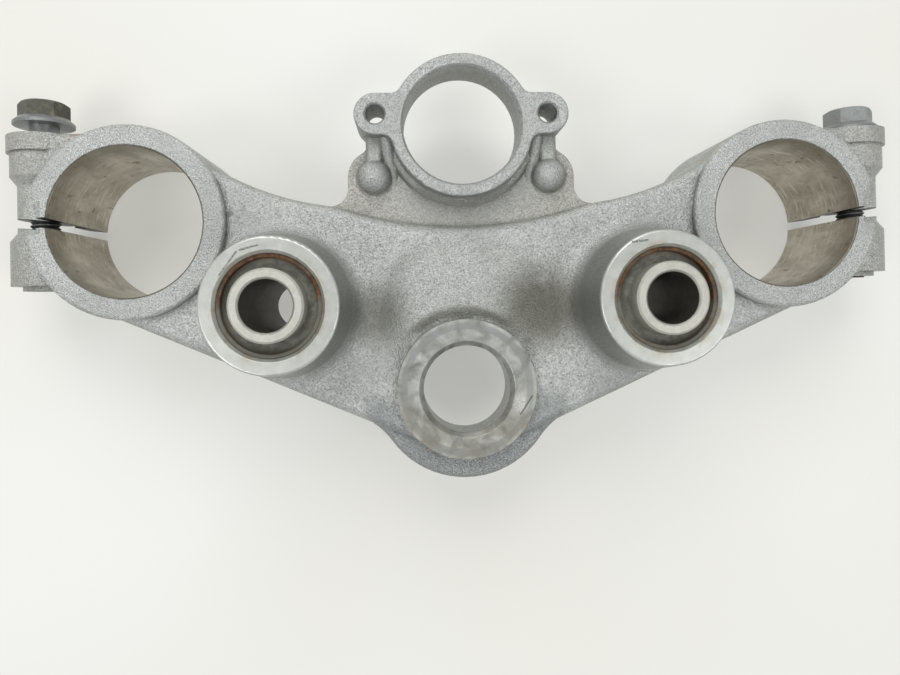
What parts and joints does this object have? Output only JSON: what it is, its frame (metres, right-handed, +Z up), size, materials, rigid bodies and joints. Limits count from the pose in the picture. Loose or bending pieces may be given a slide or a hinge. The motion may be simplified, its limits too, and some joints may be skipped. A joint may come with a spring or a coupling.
{
  "type": "triple clamp",
  "caption": "Cast upper triple clamp with split fork clamps, rubber-bushed handlebar bosses, a central stem bore and a key switch ring in front.",
  "frame": {"origin": "the steering stem's axis at the machined top face", "axes": "+Z up along the stem's axis, +Y to the front of the motorcycle, +X to the right in the picture"},
  "size_m": [0.2624, 0.1183, 0.0609],
  "materials": {
    "cast aluminium": "sand cast, worn",
    "plated bolt steel": "dull plating",
    "rusted shell steel": "rusty",
    "bush rubber": "dusty",
    "sleeve steel": "dull"
  },
  "bodies": {
    "root": {"upper_casting": "cast aluminium", "left_pinch_bolt": "plated bolt steel", "left_bush_shell": "rusted shell steel", "left_bush_rubber": "bush rubber", "left_bush_sleeve": "sleeve steel", "right_pinch_bolt": "plated bolt steel", "right_bush_shell": "rusted shell steel", "right_bush_rubber": "bush rubber", "right_bush_sleeve": "sleeve steel"}
  },
  "joints": []
}
